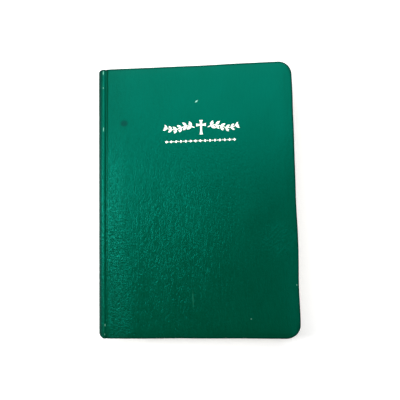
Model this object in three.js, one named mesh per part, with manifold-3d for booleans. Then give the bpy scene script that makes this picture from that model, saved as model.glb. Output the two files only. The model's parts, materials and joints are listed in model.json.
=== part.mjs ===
// A compact sewn Bible with a limp imitation-leather case, closed, lying on its back cover.
// Millimetres, +Z up. X runs from the spine (-X) to the fore-edge (+X), Y from the tail to
// the head (+Y). The origin is the middle of the footprint, on the surface the book lies on.

import * as THREE from 'three';
import { mergeVertices } from 'three/addons/utils/BufferGeometryUtils.js';
import Module from 'manifold-3d';

const wasm = await Module();
wasm.setup();

// ---- driving dimensions ----

const CASE_WIDTH = 148.5;         // spine face to fore-edge of the cover
const CASE_HEIGHT = 206;          // head to tail of the cover
const BOOK_THICKNESS = 30;        // outside of one cover to outside of the other
const COVER_CORNER_RADIUS = 10;
const SPINE_CORNER_RADIUS = 1.2;  // cover corners beside the spine

const SKIN_THICKNESS = 0.8;       // leatherette with its backing cloth
const BOARD_THICKNESS = 1.2;      // flexible card
const TURN_IN_THICKNESS = 0.4;    // skin pared thin where it folds over the board
const TURN_IN_WIDTH = 14;
const PASTEDOWN_THICKNESS = 0.2;
const PASTEDOWN_MARGIN = 3.5;     // turned-in skin left showing round the pastedown
const INLAY_THICKNESS = 0.56;     // stiff paper inside the spine

const FOLD_DEPTH = 0.6;           // spine-edge fold line, inward from both outer faces
const FOLD_RELIEF = 0.65;         // spine panel stops this far short of the fold line
const GROOVE_CENTRE = 5.5;        // hinge groove, from the spine face
const GROOVE_WIDTH = 0.5;         // bare line between the hinge strip and the cover

const HOLLOW_GAP = 0.4;           // hollow back, between spine panel and lining
const LINING_THICKNESS = 0.3;
const MULL_THICKNESS = 0.3;
const MULL_INSET = 12;            // mull stops this far short of head and tail
const THREAD_DIAMETER = 0.4;
const KETTLE_INSET = 14;          // first and last sewing station

const SQUARE = 3;                 // cover overhang at head, tail and fore-edge
const PAGE_CORNER_RADIUS = 7;
const FLYLEAF_THICKNESS = 0.2;
const FLYLEAF_TIP = 3;            // flyleaf is glued to the block over this width
const LEAF_THICKNESS = 0.15;      // the turning leaf at the middle opening
const LEAF_GAP = 0.05;
const PAPER_CLEARANCE = 0.1;      // either side of a flyleaf
const SIGNATURES_PER_HALF = 15;
const SIGNATURE_GAP = 0.03;
const SIGNATURES_PER_BUNDLE = 3;

const BAND_DIAMETER = 2;          // woven head and tail bands
const BAND_GAP = 0.05;            // between a band and the page ends

const FIT_GAP = 0.02;             // flat faces that lie on each other
const STRIP_START = 0.05;         // hinge strip begins this far past the fold line

const FOIL_THICKNESS = 0.03;
const FOIL_LINE = 0.6;            // stroke width of the stamped lines
const FOIL_EMBLEM_X = 5.2;
const FOIL_EMBLEM_Y = 54.7;
const FOIL_EMBLEM_LENGTH = 56.5;
const FOIL_CROSS_HEIGHT = 11;
const FOIL_CROSS_WIDTH = 7;
const FOIL_CROSS_STROKE = 1.5;
const FOIL_SCROLL_RADIUS = 2.2;
const FOIL_BORDER_X = 4.4;
const FOIL_BORDER_Y = 44.3;
const FOIL_BORDER_LENGTH = 55.5;
const FOIL_LOZENGE = 2.4;           // lozenge height in the lower row
const FOIL_LOZENGE_COUNT = 9;

// ---- places worked out from them ----

const SPINE_FACE = -CASE_WIDTH / 2;
const FORE_EDGE = CASE_WIDTH / 2;
const HEAD = CASE_HEIGHT / 2;
const MIDDLE = BOOK_THICKNESS / 2;
const GROOVE_X = SPINE_FACE + GROOVE_CENTRE;
const COVER_START = GROOVE_X + GROOVE_WIDTH / 2;
const STRIP_END = GROOVE_X - GROOVE_WIDTH / 2;
const FOLD_X = SPINE_FACE + FOLD_DEPTH;

const BOARD_DEPTH = SKIN_THICKNESS + FIT_GAP;                   // depths below an outer face
const TURN_IN_DEPTH = BOARD_DEPTH + BOARD_THICKNESS + FIT_GAP;
const COVER_THICKNESS = TURN_IN_DEPTH + TURN_IN_THICKNESS;
const PASTEDOWN_DEPTH = COVER_THICKNESS + FIT_GAP;
const FLYLEAF_DEPTH = PASTEDOWN_DEPTH + PASTEDOWN_THICKNESS + PAPER_CLEARANCE;
const BLOCK_DEPTH = FLYLEAF_DEPTH + FLYLEAF_THICKNESS + PAPER_CLEARANCE;

const SPINE_LIP_DEPTH = BOARD_DEPTH + INLAY_THICKNESS + FIT_GAP;
const SPINE_THICKNESS = SPINE_LIP_DEPTH + TURN_IN_THICKNESS;
const LINING_X = SPINE_FACE + SPINE_THICKNESS + HOLLOW_GAP;
const MULL_X = LINING_X + LINING_THICKNESS + FIT_GAP;
const THREAD_X = MULL_X + MULL_THICKNESS + FIT_GAP + THREAD_DIAMETER / 2;
const PAGE_BACK = THREAD_X + THREAD_DIAMETER / 2 + FIT_GAP;
const PAGE_FRONT = FORE_EDGE - SQUARE;
const PAGE_HEAD = HEAD - SQUARE;
const HALF_GAP = LEAF_THICKNESS / 2 + LEAF_GAP;                 // middle plane to either half
const SIGNATURE_PITCH = (MIDDLE - BLOCK_DEPTH - HALF_GAP) / SIGNATURES_PER_HALF;
const BLOCK_LOW = BLOCK_DEPTH;
const BLOCK_HIGH = BOOK_THICKNESS - BLOCK_DEPTH;

// ---- materials ----

const leatherette = new THREE.MeshStandardMaterial({ color: '#005f48', roughness: 0.55 });
const board = new THREE.MeshStandardMaterial({ color: '#8d8577', roughness: 0.9 });
const endpaper = new THREE.MeshStandardMaterial({ color: '#e9e2cf', roughness: 0.85 });
const biblePaper = new THREE.MeshStandardMaterial({ color: '#efe9d8', roughness: 0.85 });
const kraft = new THREE.MeshStandardMaterial({ color: '#b08d5e', roughness: 0.9 });
const gauze = new THREE.MeshStandardMaterial({ color: '#dcd8ca', roughness: 0.95 });
const linenThread = new THREE.MeshStandardMaterial({ color: '#e6dfca', roughness: 0.8 });
const bandCotton = new THREE.MeshStandardMaterial({ color: '#2c6e57', roughness: 0.85 });
const foil = new THREE.MeshStandardMaterial({ color: '#c9b98a', roughness: 0.35, metalness: 1 });

// ---- shape helpers ----

// A plan outline whose corners have one radius on the spine side and another on the fore-edge.
function pageOutline(x0, x1, y0, y1, spineRadius, foreRadius) {
  const shape = new THREE.Shape();
  const quarter = Math.PI / 2;
  const corner = (x, y, radius, start) => {
    if (radius > 0) shape.absarc(x, y, radius, start, start + quarter, false);
    else shape.lineTo(x, y);
  };
  shape.moveTo(x0 + spineRadius, y0);
  corner(x1 - foreRadius, y0 + foreRadius, foreRadius, -quarter);
  corner(x1 - foreRadius, y1 - foreRadius, foreRadius, 0);
  corner(x0 + spineRadius, y1 - spineRadius, spineRadius, quarter);
  corner(x0 + spineRadius, y0 + spineRadius, spineRadius, 2 * quarter);
  shape.closePath();
  return shape;
}

function extrudeBetween(shape, z0, z1, curveSegments = 8) {
  const geometry = new THREE.ExtrudeGeometry(shape, {
    depth: Math.abs(z1 - z0),
    bevelEnabled: false,
    curveSegments,
  });
  return geometry.translate(0, 0, Math.min(z0, z1));
}

// A flat sheet with square spine-side corners and round fore-edge corners.
function sheet(x0, x1, y, z0, z1, foreRadius, spineRadius = 0) {
  return extrudeBetween(pageOutline(x0, x1, -y, y, spineRadius, foreRadius), z0, z1);
}

function block(x0, x1, y0, y1, z0, z1) {
  const geometry = new THREE.BoxGeometry(x1 - x0, y1 - y0, Math.abs(z1 - z0));
  return geometry.translate((x0 + x1) / 2, (y0 + y1) / 2, (z0 + z1) / 2);
}

function toSolid(geometry) {
  const bare = geometry.clone();
  bare.deleteAttribute('normal');
  bare.deleteAttribute('uv');
  const welded = mergeVertices(bare, 1e-4);
  return new wasm.Manifold(new wasm.Mesh({
    numProp: 3,
    vertProperties: new Float32Array(welded.attributes.position.array),
    triVerts: new Uint32Array(welded.index.array),
  }));
}

function toGeometry(solid) {
  const cut = solid.getMesh();
  const geometry = new THREE.BufferGeometry();
  geometry.setAttribute('position', new THREE.BufferAttribute(cut.vertProperties, 3));
  geometry.setIndex(new THREE.BufferAttribute(cut.triVerts, 1));
  geometry.computeVertexNormals();
  return geometry;
}

function carve(body, ...tools) {
  return toGeometry(tools.reduce((solid, tool) => solid.subtract(toSolid(tool)), toSolid(body)));
}

function fuse(...pieces) {
  return toGeometry(pieces.map(toSolid).reduce((solid, piece) => solid.add(piece)));
}

const bible = new THREE.Group();

function add(name, geometry, material) {
  const mesh = new THREE.Mesh(geometry, material.clone());
  mesh.name = name;
  bible.add(mesh);
}

// A height measured inward from one cover's outer face.
const heightAt = { front: (depth) => BOOK_THICKNESS - depth, back: (depth) => depth };

// ---- case: covers, hinge strips and spine ----

function coverSkin(z) {
  const beyond = 5;
  const plate = sheet(COVER_START, FORE_EDGE, HEAD, z(0), z(COVER_THICKNESS),
    COVER_CORNER_RADIUS, SPINE_CORNER_RADIUS);
  const boardPocket = sheet(COVER_START - beyond, FORE_EDGE - SKIN_THICKNESS,
    HEAD - SKIN_THICKNESS, z(SKIN_THICKNESS), z(TURN_IN_DEPTH),
    COVER_CORNER_RADIUS - SKIN_THICKNESS);
  const window = sheet(COVER_START - beyond, FORE_EDGE - TURN_IN_WIDTH,
    HEAD - TURN_IN_WIDTH, z(TURN_IN_DEPTH - FIT_GAP), z(COVER_THICKNESS + beyond), 0);
  return carve(plate, boardPocket, window);
}

function coverBoard(z) {
  const edge = SKIN_THICKNESS + FIT_GAP;
  return sheet(COVER_START + FIT_GAP, FORE_EDGE - edge, HEAD - edge,
    z(BOARD_DEPTH), z(BOARD_DEPTH + BOARD_THICKNESS), COVER_CORNER_RADIUS - edge);
}

function pastedown(z) {
  return sheet(COVER_START + FIT_GAP, FORE_EDGE - PASTEDOWN_MARGIN, HEAD - PASTEDOWN_MARGIN,
    z(PASTEDOWN_DEPTH), z(PASTEDOWN_DEPTH + PASTEDOWN_THICKNESS), PAGE_CORNER_RADIUS);
}

function hingeStrip(z) {
  return block(FOLD_X + STRIP_START, STRIP_END, -HEAD, HEAD, z(0), z(SKIN_THICKNESS));
}

function flyleaf(z) {
  return sheet(PAGE_BACK + FLYLEAF_TIP, PAGE_FRONT, PAGE_HEAD,
    z(FLYLEAF_DEPTH), z(FLYLEAF_DEPTH + FLYLEAF_THICKNESS), PAGE_CORNER_RADIUS);
}

for (const [side, z] of Object.entries(heightAt)) {
  add(`${side}_cover_leatherette`, coverSkin(z), leatherette);
  add(`${side}_cover_board`, coverBoard(z), board);
  add(`${side}_pastedown`, pastedown(z), endpaper);
  add(`${side}_hinge_leatherette`, hingeStrip(z), leatherette);
  add(`${side}_flyleaf`, flyleaf(z), endpaper);
}

function spineSkin() {
  const low = FOLD_DEPTH + FOLD_RELIEF;
  const high = BOOK_THICKNESS - low;
  const beyond = 5;
  const plate = block(SPINE_FACE, SPINE_FACE + SPINE_THICKNESS, -HEAD, HEAD, low, high);
  const inlayPocket = block(SPINE_FACE + SKIN_THICKNESS, SPINE_FACE + SPINE_LIP_DEPTH,
    -HEAD + SKIN_THICKNESS, HEAD - SKIN_THICKNESS, low - beyond, high + beyond);
  const window = block(SPINE_FACE + SPINE_LIP_DEPTH - FIT_GAP, SPINE_FACE + SPINE_THICKNESS + beyond,
    -HEAD + TURN_IN_WIDTH, HEAD - TURN_IN_WIDTH, low - beyond, high + beyond);
  return carve(plate, inlayPocket, window);
}

function spineInlay() {
  const edge = SKIN_THICKNESS + FIT_GAP;
  const low = FOLD_DEPTH + FOLD_RELIEF;
  return block(SPINE_FACE + BOARD_DEPTH, SPINE_FACE + BOARD_DEPTH + INLAY_THICKNESS,
    -HEAD + edge, HEAD - edge, low, BOOK_THICKNESS - low);
}

add('spine_leatherette', spineSkin(), leatherette);
add('spine_inlay', spineInlay(), kraft);

// ---- back of the text block: lining, mull, sewing and bands ----

add('spine_lining', block(LINING_X, LINING_X + LINING_THICKNESS,
  -PAGE_HEAD, PAGE_HEAD, BLOCK_LOW, BLOCK_HIGH), kraft);
add('mull', block(MULL_X, MULL_X + MULL_THICKNESS,
  -HEAD + MULL_INSET, HEAD - MULL_INSET, BLOCK_LOW, BLOCK_HIGH), gauze);

function band(side) {
  const radius = BAND_DIAMETER / 2;
  const length = BLOCK_HIGH - BLOCK_LOW;
  const geometry = new THREE.CylinderGeometry(radius, radius, length, 16).rotateX(Math.PI / 2);
  return geometry.translate(PAGE_BACK + radius, side * (PAGE_HEAD + BAND_GAP + radius), MIDDLE);
}

add('head_band', band(1), bandCotton);
add('tail_band', band(-1), bandCotton);

// ---- text block: two halves of folded sections, numbered from the front cover down ----

// Top face of signature n, with 1 beneath the front flyleaf.
function signatureTop(n) {
  const below = n > SIGNATURES_PER_HALF ? 2 * HALF_GAP : 0;
  return BLOCK_HIGH - (n - 1) * SIGNATURE_PITCH - below;
}

const signatureCount = 2 * SIGNATURES_PER_HALF;
for (let n = 1; n <= signatureCount; n += 1) {
  const top = signatureTop(n) - SIGNATURE_GAP / 2;
  add(`signature_${String(n).padStart(2, '0')}`,
    sheet(PAGE_BACK, PAGE_FRONT, PAGE_HEAD, top, top - SIGNATURE_PITCH + SIGNATURE_GAP,
      PAGE_CORNER_RADIUS),
    biblePaper);
}

add('turning_leaf', sheet(PAGE_BACK, PAGE_FRONT, PAGE_HEAD,
  MIDDLE - LEAF_THICKNESS / 2, MIDDLE + LEAF_THICKNESS / 2, PAGE_CORNER_RADIUS), biblePaper);

// One run of thread down the back of each bundle of signatures.
const bundleCount = signatureCount / SIGNATURES_PER_BUNDLE;
for (let bundle = 1; bundle <= bundleCount; bundle += 1) {
  const middleOne = (bundle - 1) * SIGNATURES_PER_BUNDLE + (SIGNATURES_PER_BUNDLE + 1) / 2;
  const radius = THREAD_DIAMETER / 2;
  const run = new THREE.CylinderGeometry(radius, radius, 2 * (PAGE_HEAD - KETTLE_INSET), 8);
  run.translate(THREAD_X, 0, signatureTop(middleOne) - SIGNATURE_PITCH / 2);
  add(`sewing_thread_${String(bundle).padStart(2, '0')}`, run, linenThread);
}

// ---- gold-foil stamping on the front cover ----

const FOIL_LOW = BOOK_THICKNESS + FIT_GAP;
const FOIL_HIGH = FOIL_LOW + FOIL_THICKNESS;

function foilBar(x, y, width, height) {
  return block(x - width / 2, x + width / 2, y - height / 2, y + height / 2, FOIL_LOW, FOIL_HIGH);
}

// A plain cross between two rules that end in open curls.
function emblem() {
  const pieces = [
    foilBar(FOIL_EMBLEM_X, FOIL_EMBLEM_Y, FOIL_CROSS_STROKE, FOIL_CROSS_HEIGHT),
    foilBar(FOIL_EMBLEM_X, FOIL_EMBLEM_Y + FOIL_CROSS_HEIGHT / 6, FOIL_CROSS_WIDTH,
      FOIL_CROSS_STROKE),
    foilBar(FOIL_EMBLEM_X, FOIL_EMBLEM_Y - FOIL_CROSS_HEIGHT / 6,
      FOIL_EMBLEM_LENGTH - 2 * FOIL_SCROLL_RADIUS + FOIL_LINE, FOIL_LINE),
  ];
  for (const side of [-1, 1]) {
    const curl = new THREE.Shape();
    curl.absarc(0, 0, FOIL_SCROLL_RADIUS, -Math.PI / 2, Math.PI, false);
    curl.absarc(0, 0, FOIL_SCROLL_RADIUS - FOIL_LINE, Math.PI, -Math.PI / 2, true);
    curl.closePath();
    const geometry = extrudeBetween(curl, FOIL_LOW, FOIL_HIGH, 16);
    if (side < 0) geometry.rotateY(Math.PI).translate(0, 0, FOIL_LOW + FOIL_HIGH);
    geometry.translate(
      FOIL_EMBLEM_X + side * (FOIL_EMBLEM_LENGTH / 2 - FOIL_SCROLL_RADIUS),
      FOIL_EMBLEM_Y - FOIL_CROSS_HEIGHT / 6 + FOIL_SCROLL_RADIUS - FOIL_LINE / 2, 0);
    pieces.push(geometry);
  }
  return fuse(...pieces);
}

// A row of lozenges on a hairline.
function borderRow() {
  const pieces = [foilBar(FOIL_BORDER_X, FOIL_BORDER_Y, FOIL_BORDER_LENGTH, FOIL_LINE / 2)];
  const pitch = FOIL_BORDER_LENGTH / FOIL_LOZENGE_COUNT;
  for (let i = 0; i < FOIL_LOZENGE_COUNT; i += 1) {
    const half = FOIL_LOZENGE / 2;
    const lozenge = new THREE.Shape();
    lozenge.moveTo(half, 0);
    lozenge.lineTo(0, half);
    lozenge.lineTo(-half, 0);
    lozenge.lineTo(0, -half);
    lozenge.closePath();
    const x = FOIL_BORDER_X + (i - (FOIL_LOZENGE_COUNT - 1) / 2) * pitch;
    pieces.push(extrudeBetween(lozenge, FOIL_LOW, FOIL_HIGH).translate(x, FOIL_BORDER_Y, 0));
  }
  return fuse(...pieces);
}

add('foil_emblem', emblem(), foil);
add('foil_border', borderRow(), foil);

export default bible;
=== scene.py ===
"""A compact sewn Bible in a limp imitation-leather case, dressed around its CAD frame.

Metres, +Z up: X runs from the spine to the fore-edge, Y from the tail to the head. The book
lies closed on its back cover. The case is one skin of leatherette, cut into pieces at both
spine edges; the text block is built in slabs, each reaching between two neighbouring bundles.
"""

import json
import math

import bmesh
import bpy
from mathutils import Matrix, Vector, noise

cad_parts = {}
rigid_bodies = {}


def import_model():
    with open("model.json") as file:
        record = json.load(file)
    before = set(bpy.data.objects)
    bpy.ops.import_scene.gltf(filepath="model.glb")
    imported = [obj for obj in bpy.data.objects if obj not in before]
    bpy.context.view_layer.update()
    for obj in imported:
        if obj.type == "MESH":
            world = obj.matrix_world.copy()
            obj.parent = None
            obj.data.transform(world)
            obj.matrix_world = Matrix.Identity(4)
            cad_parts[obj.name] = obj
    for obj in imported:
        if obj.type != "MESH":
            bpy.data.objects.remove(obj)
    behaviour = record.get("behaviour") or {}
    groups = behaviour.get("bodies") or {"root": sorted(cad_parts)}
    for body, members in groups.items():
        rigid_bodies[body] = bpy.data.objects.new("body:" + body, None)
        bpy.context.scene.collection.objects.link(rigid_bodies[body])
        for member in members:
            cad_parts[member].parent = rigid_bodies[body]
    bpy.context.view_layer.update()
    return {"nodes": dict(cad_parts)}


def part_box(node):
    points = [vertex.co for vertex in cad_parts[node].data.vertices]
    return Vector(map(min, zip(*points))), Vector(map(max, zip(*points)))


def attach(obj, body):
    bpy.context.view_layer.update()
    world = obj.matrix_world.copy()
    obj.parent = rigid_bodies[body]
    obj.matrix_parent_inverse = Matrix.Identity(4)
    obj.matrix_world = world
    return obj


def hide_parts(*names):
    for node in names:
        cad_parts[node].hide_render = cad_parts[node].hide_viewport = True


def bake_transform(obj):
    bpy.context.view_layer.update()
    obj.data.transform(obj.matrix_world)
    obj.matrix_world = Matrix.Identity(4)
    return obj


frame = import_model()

MM = 0.001

# ---- places taken from the frame ----

COVER_LOW, COVER_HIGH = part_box("front_cover_leatherette")
STRIP_LOW, STRIP_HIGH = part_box("front_hinge_leatherette")
INLAY_LOW, INLAY_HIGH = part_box("spine_inlay")
LEAF_LOW, LEAF_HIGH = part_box("turning_leaf")
BLOCK_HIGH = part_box("signature_01")[1].z
BLOCK_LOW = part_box("signature_30")[0].z
PASTE_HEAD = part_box("front_pastedown")[1].y

THICKNESS = COVER_HIGH.z
MIDDLE = THICKNESS / 2
HEAD = COVER_HIGH.y
FORE_EDGE = COVER_HIGH.x
SPINE_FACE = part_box("spine_leatherette")[0].x
PAGE_BACK, PAGE_FRONT, PAGE_HEAD = LEAF_LOW.x, LEAF_HIGH.x, LEAF_HIGH.y
HALF_LOW, HALF_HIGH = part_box("signature_16")[1].z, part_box("signature_15")[0].z
SKIN = STRIP_HIGH.z - STRIP_LOW.z
COVER_THICKNESS = COVER_HIGH.z - COVER_LOW.z
GROOVE_X = (STRIP_HIGH.x + COVER_LOW.x) / 2
BUNDLES = 10
SECTIONS = 3                                     # signatures in a bundle
PITCH = (BLOCK_HIGH - HALF_HIGH) / (BUNDLES / 2 * SECTIONS)

# ---- shapes that the skin adds to the frame ----

ROLL_RADIUS = 3.05 * MM                          # shoulder between cover and spine
ROLL_X = SPINE_FACE + ROLL_RADIUS
ROLL_TOP, ROLL_LOW = THICKNESS - ROLL_RADIUS, ROLL_RADIUS
PANEL_TOP, PANEL_LOW = THICKNESS - 4 * MM, 4 * MM
GROOVE_DEPTH = 0.75 * MM
GROOVE_HALF = 0.95 * MM
CORNER_RADIUS = 10 * MM
PAGE_CORNER = 7 * MM
EDGE_ROLL, INNER_ROLL = 0.9 * MM, 0.6 * MM       # rounding of the cover's rim, outside and in
TURN_IN = 14 * MM
TURN_IN_LIP = 0.4 * MM                           # skin under the board, inside the pocket
RIM = 1.0 * MM                                   # skin folded in at head and tail
EDGE_FALL = 0.55 * MM                            # how far the cover face falls at its edges
EDGE_BAND, END_BAND = 9 * MM, 5 * MM             # how wide that fall is, fore-edge and ends
RISE_X = GROOVE_X + 1.2 * MM                     # the cover swells from here
CREST_X = GROOVE_X + 14.2 * MM                   # to here, and sinks again
CREST_HEIGHT, CREST_FALL = 1.15 * MM, 34 * MM
FRONT_BOW, HEAD_BOW = 0.5 * MM, 1.0 * MM         # the limp cover has spread a little
SPINE_SWELL = 0.95 * MM                          # how far the soft spine stands out
INLAY_SHIFT = SPINE_SWELL * 0.8
HEAD_DROP, TAIL_DROP = 1.3 * MM, 3.8 * MM        # the worn corners of the spine
CORNER_WEAR = 9 * MM                             # how far up the spine those corners reach
RIM_WEAR = 7 * MM                                # the band along the rim that has wandered
SHOULDER_STEPS, PANEL_STEPS = 10, 8


# ---- modelling helpers ----

MERGED = 1e-6                                    # points nearer than this are one
SAME = 1e-5                                      # places nearer than this are the same place
LEVEL = 1e-7                                     # edges that rise less than this are level


def clear_selection():
    if bpy.context.object and bpy.context.object.mode != "OBJECT":
        bpy.ops.object.mode_set(mode="OBJECT")
    bpy.ops.object.select_all(action="DESELECT")


def take_up(piece):
    """Selects one piece alone and makes it the active one."""
    clear_selection()
    piece.select_set(True)
    bpy.context.view_layer.objects.active = piece


def start_plate(name, x0, x1, y0, y1, z):
    """A flat face of that size at height z, left in edit mode with all of it selected."""
    clear_selection()
    bpy.ops.mesh.primitive_plane_add(size=1, enter_editmode=True)
    piece = bpy.context.object
    piece.name = piece.data.name = name
    bpy.ops.transform.resize(value=(x1 - x0, y1 - y0, 1))
    bpy.ops.transform.translate(value=((x0 + x1) / 2, (y0 + y1) / 2, z))
    return piece


def face_out():
    """In edit mode, turns every selected face outwards."""
    bpy.ops.mesh.normals_make_consistent(inside=False)


def pick(piece, kind, test):
    """In edit mode, selects the vertices, edges or faces whose centre and normal pass the test."""
    bpy.ops.mesh.select_mode(type=kind)
    bpy.ops.mesh.select_all(action="DESELECT")
    shape = bmesh.from_edit_mesh(piece.data)
    shape.normal_update()
    items = {"VERT": shape.verts, "EDGE": shape.edges, "FACE": shape.faces}[kind]
    for item in items:
        if kind == "VERT":
            chosen = test(item.co, item.normal)
        elif kind == "EDGE":
            a, b = (v.co for v in item.verts)
            chosen = test((a + b) / 2, b - a)
        else:
            chosen = test(item.calc_center_median(), item.normal)
        item.select_set(bool(chosen))
    bmesh.update_edit_mesh(piece.data)


def pick_all():
    bpy.ops.mesh.select_all(action="SELECT")


def extrude(x=0, y=0, z=0):
    bpy.ops.mesh.extrude_region_move(TRANSFORM_OT_translate={"value": (x, y, z)})


def grow(z0, z1, count):
    """Extrudes the selected outline from z0 to z1 in equal rings."""
    for _ in range(count):
        extrude(z=(z1 - z0) / count)


def round_plan_corners(piece, radius):
    """Rounds the fore-edge corners of a flat plate."""
    front = max(v.co.x for v in bmesh.from_edit_mesh(piece.data).verts)
    pick(piece, "VERT", lambda c, n: c.x > front - MM)
    bpy.ops.mesh.bevel(offset=radius, segments=9, affect="VERTICES")


def slice_at(axis, places):
    """Cuts the whole mesh with a plane at each place along X, Y or Z."""
    normal = tuple(float(axis == i) for i in range(3))
    for place in places:
        pick_all()
        bpy.ops.mesh.bisect(plane_co=tuple(place * n for n in normal), plane_no=normal)


def steps(start, end, count):
    """Places that divide a length into count parts, without its ends."""
    return [start + (end - start) * i / count for i in range(1, count)]


def close_up(piece):
    """Merges doubles, turns normals outwards and leaves edit mode."""
    pick_all()
    bpy.ops.mesh.remove_doubles(threshold=MERGED)
    face_out()
    bpy.ops.object.mode_set(mode="OBJECT")
    return piece


def smooth(piece, degrees):
    take_up(piece)
    bpy.ops.object.shade_smooth_by_angle(angle=math.radians(degrees), keep_sharp_edges=False)
    return piece


def cut(piece, cutter):
    """Takes cutter's shape out of piece, then removes cutter."""
    take_up(piece)
    change = piece.modifiers.new("cut", "BOOLEAN")
    change.operation = "DIFFERENCE"
    change.solver = "EXACT"
    change.object = cutter
    bpy.ops.object.modifier_apply(modifier=change.name)
    bpy.data.objects.remove(cutter)


def copied(piece, name, matrix):
    twin = piece.copy()
    twin.data = piece.data.copy()
    twin.name = twin.data.name = name
    twin.data.transform(matrix)
    bpy.context.scene.collection.objects.link(twin)
    return twin


def joined(pieces, name):
    clear_selection()
    for piece in pieces:
        piece.select_set(True)
    bpy.context.view_layer.objects.active = pieces[0]
    bpy.ops.object.join()
    whole = bpy.context.object
    whole.name = whole.data.name = name
    return whole


def map_surface(piece, place):
    """Gives each corner of each face the UV that place(position, face normal) returns."""
    layer = piece.data.uv_layers.active or piece.data.uv_layers.new(name="surface")
    layer.name = "surface"
    for face in piece.data.polygons:
        for loop in face.loop_indices:
            co = piece.data.vertices[piece.data.loops[loop].vertex_index].co
            layer.data[loop].uv = place(co, face.normal)


def dress(piece, *materials):
    piece.data.materials.clear()
    for material in materials:
        piece.data.materials.append(material)
    return piece


# ---- materials ----

def linear(code):
    """An sRGB hex colour as linear RGBA."""
    channels = [int(code[i:i + 2], 16) / 255 for i in (1, 3, 5)]
    return [c / 12.92 if c <= 0.04045 else ((c + 0.055) / 1.055) ** 2.4 for c in channels] + [1]


def add(tree, kind, inputs=None, **settings):
    """Adds a node, sets it up, and fills its inputs with values or with other nodes' outputs."""
    made = tree.nodes.new("ShaderNode" + kind)
    for key, value in settings.items():
        setattr(made, key, value)
    for key, value in (inputs or {}).items():
        if isinstance(value, bpy.types.Node):
            value = value.outputs[0]
        if isinstance(value, bpy.types.NodeSocket):
            tree.links.new(value, made.inputs[key])
        else:
            made.inputs[key].default_value = value
    return made


def new_material(name, **surface):
    """A material whose one Principled shader has those values; returns it and its tree."""
    material = bpy.data.materials.new(name)
    material.use_nodes = True
    shader = material.node_tree.nodes["Principled BSDF"]
    for key, value in surface.items():
        shader.inputs[key.replace("_", " ")].default_value = value
    return material, material.node_tree


def surfaced(material, colour, height, depth, rough=None):
    """Links the colour, a relief that deep in millimetres and, if it varies, the roughness."""
    tree = material.node_tree
    shader = tree.nodes["Principled BSDF"]
    tree.links.new(colour, shader.inputs["Base Color"])
    bump = add(tree, "Bump", {"Height": height, "Strength": 1.0, "Distance": depth * MM})
    tree.links.new(bump.outputs[0], shader.inputs["Normal"])
    if rough:
        tree.links.new(rough.outputs[0], shader.inputs["Roughness"])
    return material


def stretched(tree, coordinates, x, y, z=1.0, turn=0.0):
    """Coordinates whose unit along each axis is that many millimetres."""
    scale = [1 / (size * MM) for size in (x, y, z)]
    return add(tree, "Mapping", {"Vector": coordinates, "Scale": scale,
                                 "Rotation": (0, 0, turn)})


def tinted(tree, factor, low, high):
    """A colour between two hex colours."""
    mixed = add(tree, "Mix", {"Factor": factor}, data_type="RGBA")
    for socket, value in ((mixed.inputs["A"], low), (mixed.inputs["B"], high)):
        if isinstance(value, str):
            socket.default_value = linear(value)
        else:
            tree.links.new(value, socket)
    return mixed.outputs["Result"]


def spot(tree, uv, x, y, wide, tall, turn=0.0, strength=1.0):
    """A mask for one mark on the skin: 1 inside an ellipse of that size in millimetres."""
    place = add(tree, "Mapping", {"Vector": uv, "Location": (x * MM, y * MM, 0),
                                  "Rotation": (0, 0, turn),
                                  "Scale": (wide * MM / 2, tall * MM / 2, 1)},
                vector_type="TEXTURE")
    reach = add(tree, "VectorMath", {0: place}, operation="LENGTH").outputs["Value"]
    ragged = add(tree, "TexNoise", {"Vector": stretched(tree, uv, 0.8, 0.8), "Scale": 1.0})
    reach = add(tree, "Math", {0: ragged, 1: 0.7, 2: reach}, operation="MULTIPLY_ADD")
    return add(tree, "MapRange", {"Value": reach, "From Min": 1.35, "From Max": 0.75,
                                  "To Max": strength}, interpolation_type="SMOOTHSTEP")


def strongest(tree, masks):
    whole = masks[0]
    for mask in masks[1:]:
        whole = add(tree, "Math", {0: whole, 1: mask}, operation="MAXIMUM")
    return whole


def product(tree, *factors):
    whole = factors[0]
    for factor in factors[1:]:
        whole = add(tree, "Math", {0: whole, 1: factor}, operation="MULTIPLY")
    return whole


def ramp(tree, value, start, end, low=0.0, high=1.0):
    """Rises smoothly from low to high as value goes from start to end, in millimetres."""
    return add(tree, "MapRange", {"Value": value, "From Min": start * MM,
                                  "From Max": end * MM, "To Min": low, "To Max": high},
               interpolation_type="SMOOTHSTEP")


def creasing(tree, uv, x, y, seed, width=0.07):
    """Fine furrows: thin lines along the level line of a noise x by y millimetres wide."""
    place = add(tree, "Mapping", {"Vector": uv, "Location": (seed, seed / 3, 0),
                                  "Scale": (1 / (x * MM), 1 / (y * MM), 1)})
    wander = add(tree, "TexNoise", {"Vector": place, "Scale": 1.0, "Detail": 2.0,
                                    "Distortion": 0.7})
    level = add(tree, "Math", {0: wander, 1: 0.5}, operation="SUBTRACT")
    level = add(tree, "Math", {0: level}, operation="ABSOLUTE")
    return add(tree, "MapRange", {"Value": level, "From Max": width})


# marks on the skin: place, width and height in millimetres, then turn and strength
NICKS = [(-70.9, 100.3, 1.0, 3.6), (-70.9, 88.9, 0.9, 1.6, 0, 0.8), (-70.8, 56.0, 0.9, 4.6),
         (-69.9, -93.0, 0.9, 2.6, 0, 0.7), (-70.2, -99.8, 0.9, 2.0, 0, 0.5),
         (72.7, -64.4, 0.9, 1.3, 0, 0.8), (39.2, -88.6, 1.7, 1.0, 0, 0.45)]
SCRATCH = (2.0, 74.9, 3.4, 1.2, 0.65)
SMUDGE = (-54.4, 60.0, 8.0, 6.6, 0, 0.85)
SCUFF = (-3.2, -74, 0.9, 17, 0.01)
CREASED = (61, -32, 36, 34, 0, 0.5)
RIDGE_X = -71.15                                 # where the fold has rubbed, in millimetres


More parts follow.
